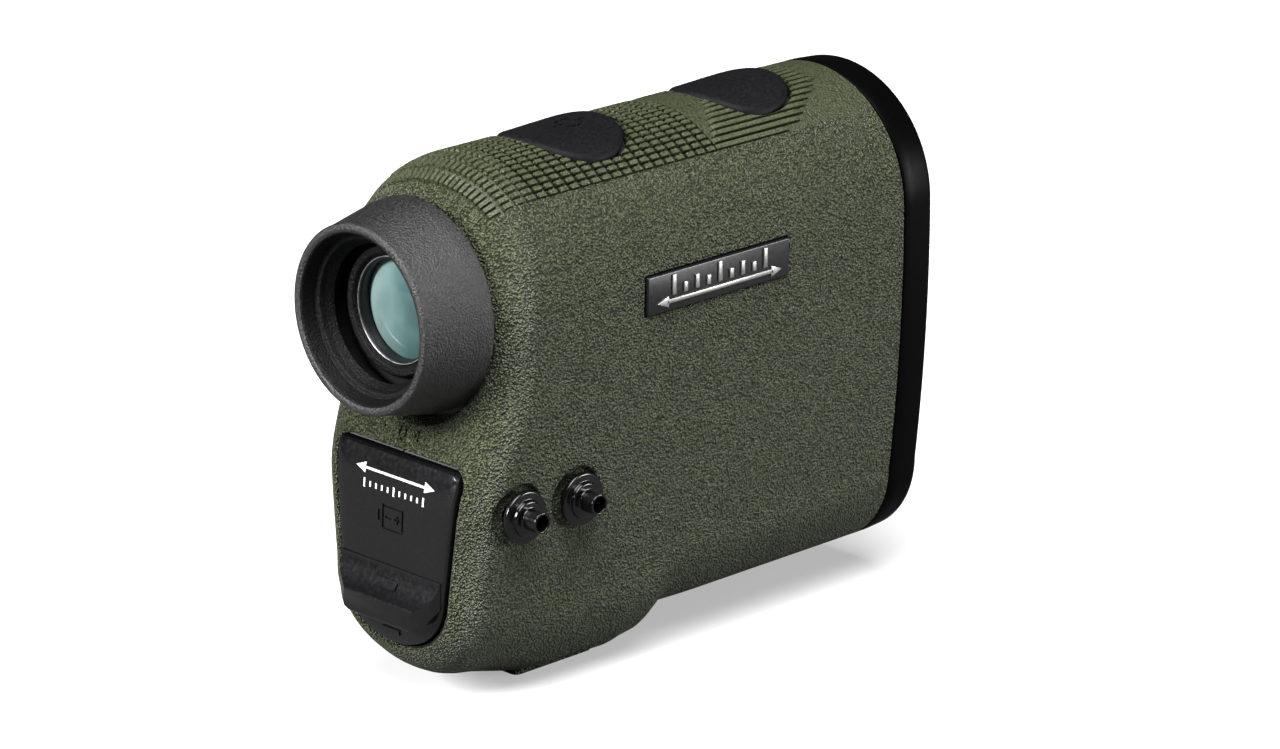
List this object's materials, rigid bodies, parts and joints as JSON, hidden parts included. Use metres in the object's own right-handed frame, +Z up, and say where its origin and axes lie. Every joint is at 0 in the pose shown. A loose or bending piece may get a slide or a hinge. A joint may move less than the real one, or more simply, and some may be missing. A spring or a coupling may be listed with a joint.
{
  "type": "laser rangefinder",
  "caption": "Hand-held monocular laser rangefinder: rubber-armoured body with top keys, a turning dioptre eyecup, a hinged battery door and side studs for a belt clip.",
  "frame": {"origin": "on the flat resting pad under the battery bay, on the body's mid-plane", "axes": "+X forward along the optical axis to the objective, +Y to the user's left, +Z up, so the pad faces -Z"},
  "size_m": [0.095, 0.0401, 0.0773],
  "materials": {
    "armour_rubber": "matte moulded olive-green rubber with a fine leather grain",
    "housing_plastic": "matt black fibre-filled plastic",
    "bezel_plastic": "satin black moulded plastic with a soft highlight on its edges",
    "eyecup_rubber": "matt black rubber with a fine speckled grain",
    "key_plastic": "matt charcoal rubber, debossed symbols",
    "door_plastic": "satin black plastic with light printed marks",
    "badge_plate": "glossy black plate with a silver tick scale",
    "stud_metal": "gloss black enamelled metal",
    "black_anodised": "matt black anodised",
    "bright_steel": "plain bright steel",
    "optical_glass": "clear polished glass with a green-blue coating",
    "seal_rubber": "soft black rubber",
    "circuit_board": "green solder mask",
    "switch_plastic": "matt black",
    "flex_film": "amber polyimide film",
    "battery_can": "plain silver-grey sleeve",
    "contact_brass": "bright"
  },
  "bodies": {
    "body": {"rubber_armour": "armour_rubber", "housing_left": "housing_plastic", "housing_right": "housing_plastic", "display_frame": "housing_plastic", "battery_tube": "housing_plastic", "front_bezel": "bezel_plastic", "badge_right": "badge_plate", "badge_left": "badge_plate", "clip_stud_rear": "stud_metal", "clip_stud_front": "stud_metal", "eyepiece_barrel": "black_anodised", "field_lens_holder": "black_anodised", "prism_holder": "black_anodised", "baffle_tube": "black_anodised", "objective_cell": "black_anodised", "objective_retaining_ring": "black_anodised", "emitter_tube": "black_anodised", "clip_stud_washer_rear": "bright_steel", "clip_stud_washer_front": "bright_steel", "housing_screw_1": "bright_steel", "housing_screw_2": "bright_steel", "housing_screw_3": "bright_steel", "housing_screw_4": "bright_steel", "prism_clip": "bright_steel", "door_hinge_pin": "bright_steel", "field_lens": "optical_glass", "display_panel": "optical_glass", "schmidt_roof_prism": "optical_glass", "half_penta_prism": "optical_glass", "objective_flint_lens": "optical_glass", "objective_crown_lens": "optical_glass", "emitter_lens": "optical_glass", "front_gasket": "seal_rubber", "eyepiece_gasket": "seal_rubber", "door_gasket": "seal_rubber", "button_board": "circuit_board", "laser_driver_board": "circuit_board", "main_board": "circuit_board", "measure_switch": "switch_plastic", "menu_switch": "switch_plastic", "button_flex": "flex_film", "display_flex": "flex_film", "battery_cell": "battery_can", "laser_diode_mount": "contact_brass", "laser_diode": "contact_brass", "apd_detector": "contact_brass", "battery_positive_contact": "contact_brass"},
    "battery_door": {"battery_door": "door_plastic", "door_contact_spring": "contact_brass"},
    "dioptre": {"rubber_eyecup": "eyecup_rubber", "dioptre_ring": "black_anodised"},
    "eye_cell": {"eye_lens_cell": "black_anodised", "eye_lens": "optical_glass", "eye_lens_retaining_ring": "bright_steel", "eyepiece_doublet": "optical_glass"},
    "measure_key": {"measure_key": "key_plastic", "measure_switch_plunger": "contact_brass"},
    "menu_key": {"menu_key": "key_plastic", "menu_switch_plunger": "contact_brass"}
  },
  "joints": [
    {"name": "door_hinge", "type": "hinge", "parent": "body", "child": "battery_door", "pos_m": [-0.0252, 0, 0.0345], "axis": [0, 1, 0], "range_deg": [0, 85]},
    {"name": "dioptre_turn", "type": "hinge", "parent": "body", "child": "dioptre", "pos_m": [-0.0254, 0, 0.05695], "axis": [1, 0, 0], "range_deg": [-60, 60]},
    {"name": "eye_cell_slide", "type": "slide", "parent": "body", "child": "eye_cell", "axis": [1, 0, 0], "range_m": [-0.0015, 0.0015]},
    {"name": "measure_press", "type": "slide", "parent": "body", "child": "measure_key", "axis": [0, 0, -1], "range_m": [0, 0.0005], "stiffness_N_per_m": 1000, "springref_m": -0.0003},
    {"name": "menu_press", "type": "slide", "parent": "body", "child": "menu_key", "axis": [0, 0, -1], "range_m": [0, 0.0005], "stiffness_N_per_m": 1000, "springref_m": -0.0003}
  ],
  "couplings": [
    {"joint": "eye_cell_slide", "follows": "dioptre_turn", "m_per_rad": 0.0014324}
  ]
}
